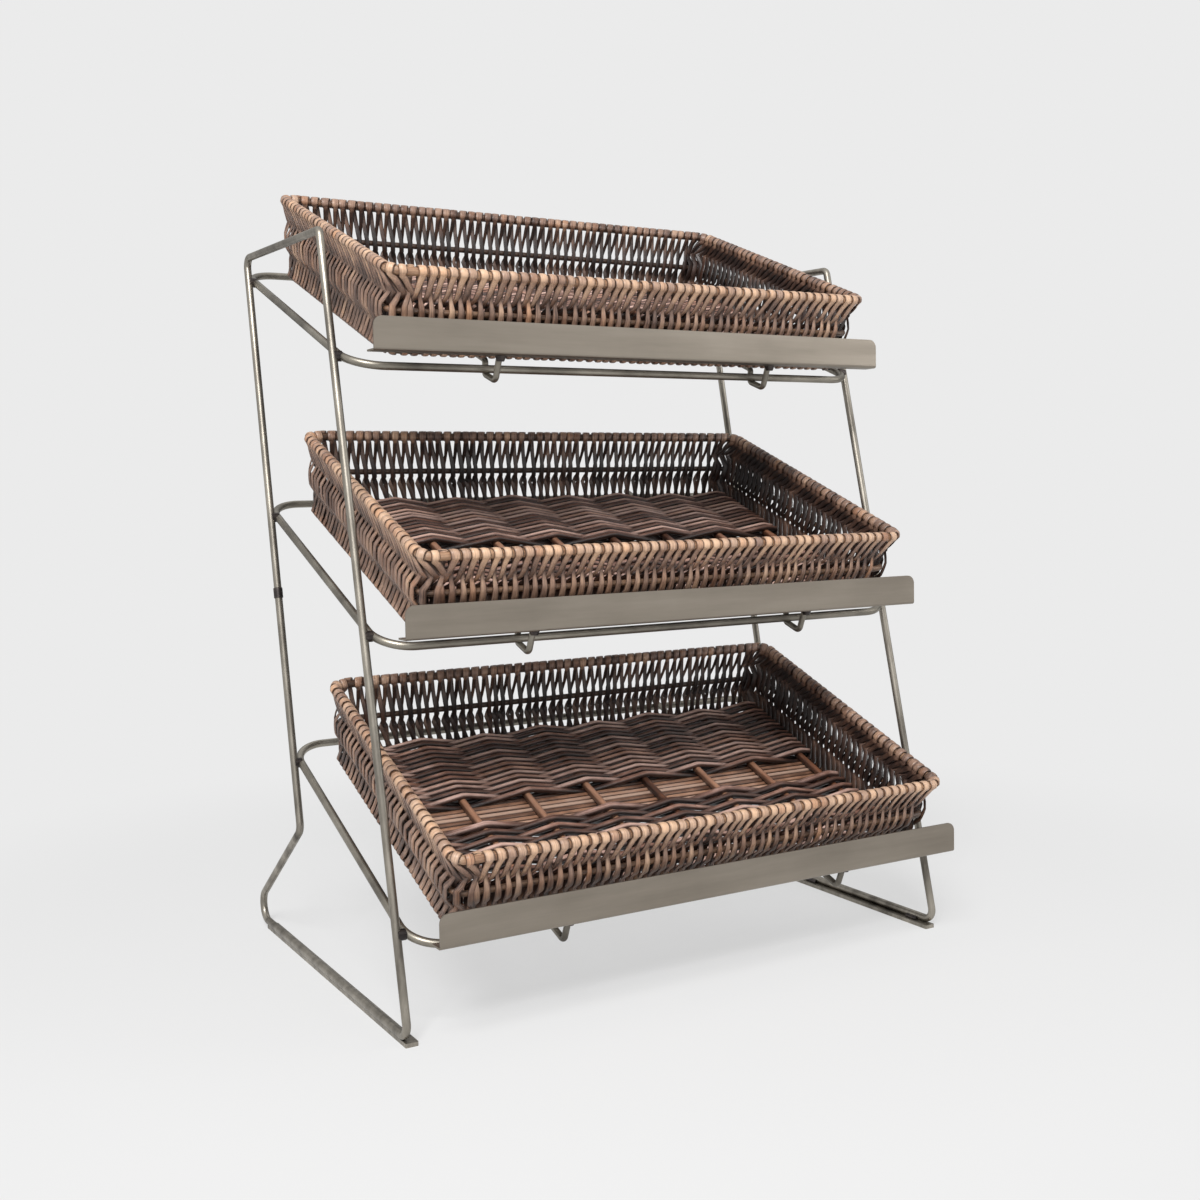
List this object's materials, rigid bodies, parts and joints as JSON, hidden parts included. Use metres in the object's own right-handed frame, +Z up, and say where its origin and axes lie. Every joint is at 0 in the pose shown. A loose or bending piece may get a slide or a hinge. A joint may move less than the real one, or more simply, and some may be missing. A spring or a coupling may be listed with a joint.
{
  "type": "countertop display stand",
  "caption": "Tiered counter display stand of welded steel rod with sloping wire shelves, bare steel ticket strips in front and shallow wicker baskets that lift out.",
  "frame": {"origin": "middle of the stand's bounding box, on the counter under the two foot bars", "axes": "+X to the right as a customer faces the stand, +Y from the front to the back, +Z up from the counter"},
  "size_m": [0.5078, 0.4036, 0.6592],
  "materials": {
    "frame_steel": "clear-lacquered raw steel rod, drawn lengthwise",
    "strip_steel": "clear-lacquered raw sheet steel, faint roller marks",
    "weld_steel": "dark weld beads with heat tint",
    "willow_rim": "unvarnished antique-wash willow, tan and grey",
    "willow_wall": "unvarnished antique-wash willow, grey-brown",
    "willow_floor": "unvarnished dark willow, purple-brown",
    "willow_stake": "thicker dark red-brown willow rods",
    "willow_stick": "lighter orange-brown willow rods"
  },
  "bodies": {
    "stand": {"left_side_frame": "frame_steel", "right_side_frame": "frame_steel", "left_foot_bar": "frame_steel", "right_foot_bar": "frame_steel", "foot_welds": "weld_steel", "frame_butt_welds": "weld_steel", "bottom_shelf_ring": "frame_steel", "bottom_ring_welds": "weld_steel", "bottom_left_support_wire": "frame_steel", "bottom_right_support_wire": "frame_steel", "bottom_ticket_strip": "strip_steel", "bottom_strip_welds": "weld_steel", "middle_shelf_ring": "frame_steel", "middle_ring_welds": "weld_steel", "middle_left_support_wire": "frame_steel", "middle_right_support_wire": "frame_steel", "middle_ticket_strip": "strip_steel", "middle_strip_welds": "weld_steel", "top_shelf_ring": "frame_steel", "top_ring_welds": "weld_steel", "top_left_support_wire": "frame_steel", "top_right_support_wire": "frame_steel", "top_ticket_strip": "strip_steel", "top_strip_welds": "weld_steel"},
    "bottom_basket": {"bottom_basket_rim_hoop": "willow_rim", "bottom_basket_middle_hoop": "willow_stick", "bottom_basket_base_hoop": "willow_rim", "bottom_basket_wall_weave": "willow_wall", "bottom_basket_floor_weave": "willow_floor", "bottom_basket_floor_stakes": "willow_stake", "bottom_basket_centre_sticks": "willow_stick"},
    "middle_basket": {"middle_basket_rim_hoop": "willow_rim", "middle_basket_middle_hoop": "willow_stick", "middle_basket_base_hoop": "willow_rim", "middle_basket_wall_weave": "willow_wall", "middle_basket_floor_weave": "willow_floor", "middle_basket_floor_stakes": "willow_stake", "middle_basket_centre_sticks": "willow_stick"},
    "top_basket": {"top_basket_rim_hoop": "willow_rim", "top_basket_middle_hoop": "willow_stick", "top_basket_base_hoop": "willow_rim", "top_basket_wall_weave": "willow_wall", "top_basket_floor_weave": "willow_floor", "top_basket_floor_stakes": "willow_stake", "top_basket_centre_sticks": "willow_stick"}
  },
  "joints": [
    {"name": "bottom_basket_lift", "type": "slide", "parent": "stand", "child": "bottom_basket", "axis": [0, -0.5736, 0.8192], "range_m": [0, 0.09]},
    {"name": "middle_basket_lift", "type": "slide", "parent": "stand", "child": "middle_basket", "axis": [0, -0.5736, 0.8192], "range_m": [0, 0.09]},
    {"name": "top_basket_lift", "type": "slide", "parent": "stand", "child": "top_basket", "axis": [0, -0.5736, 0.8192], "range_m": [0, 0.25]}
  ]
}
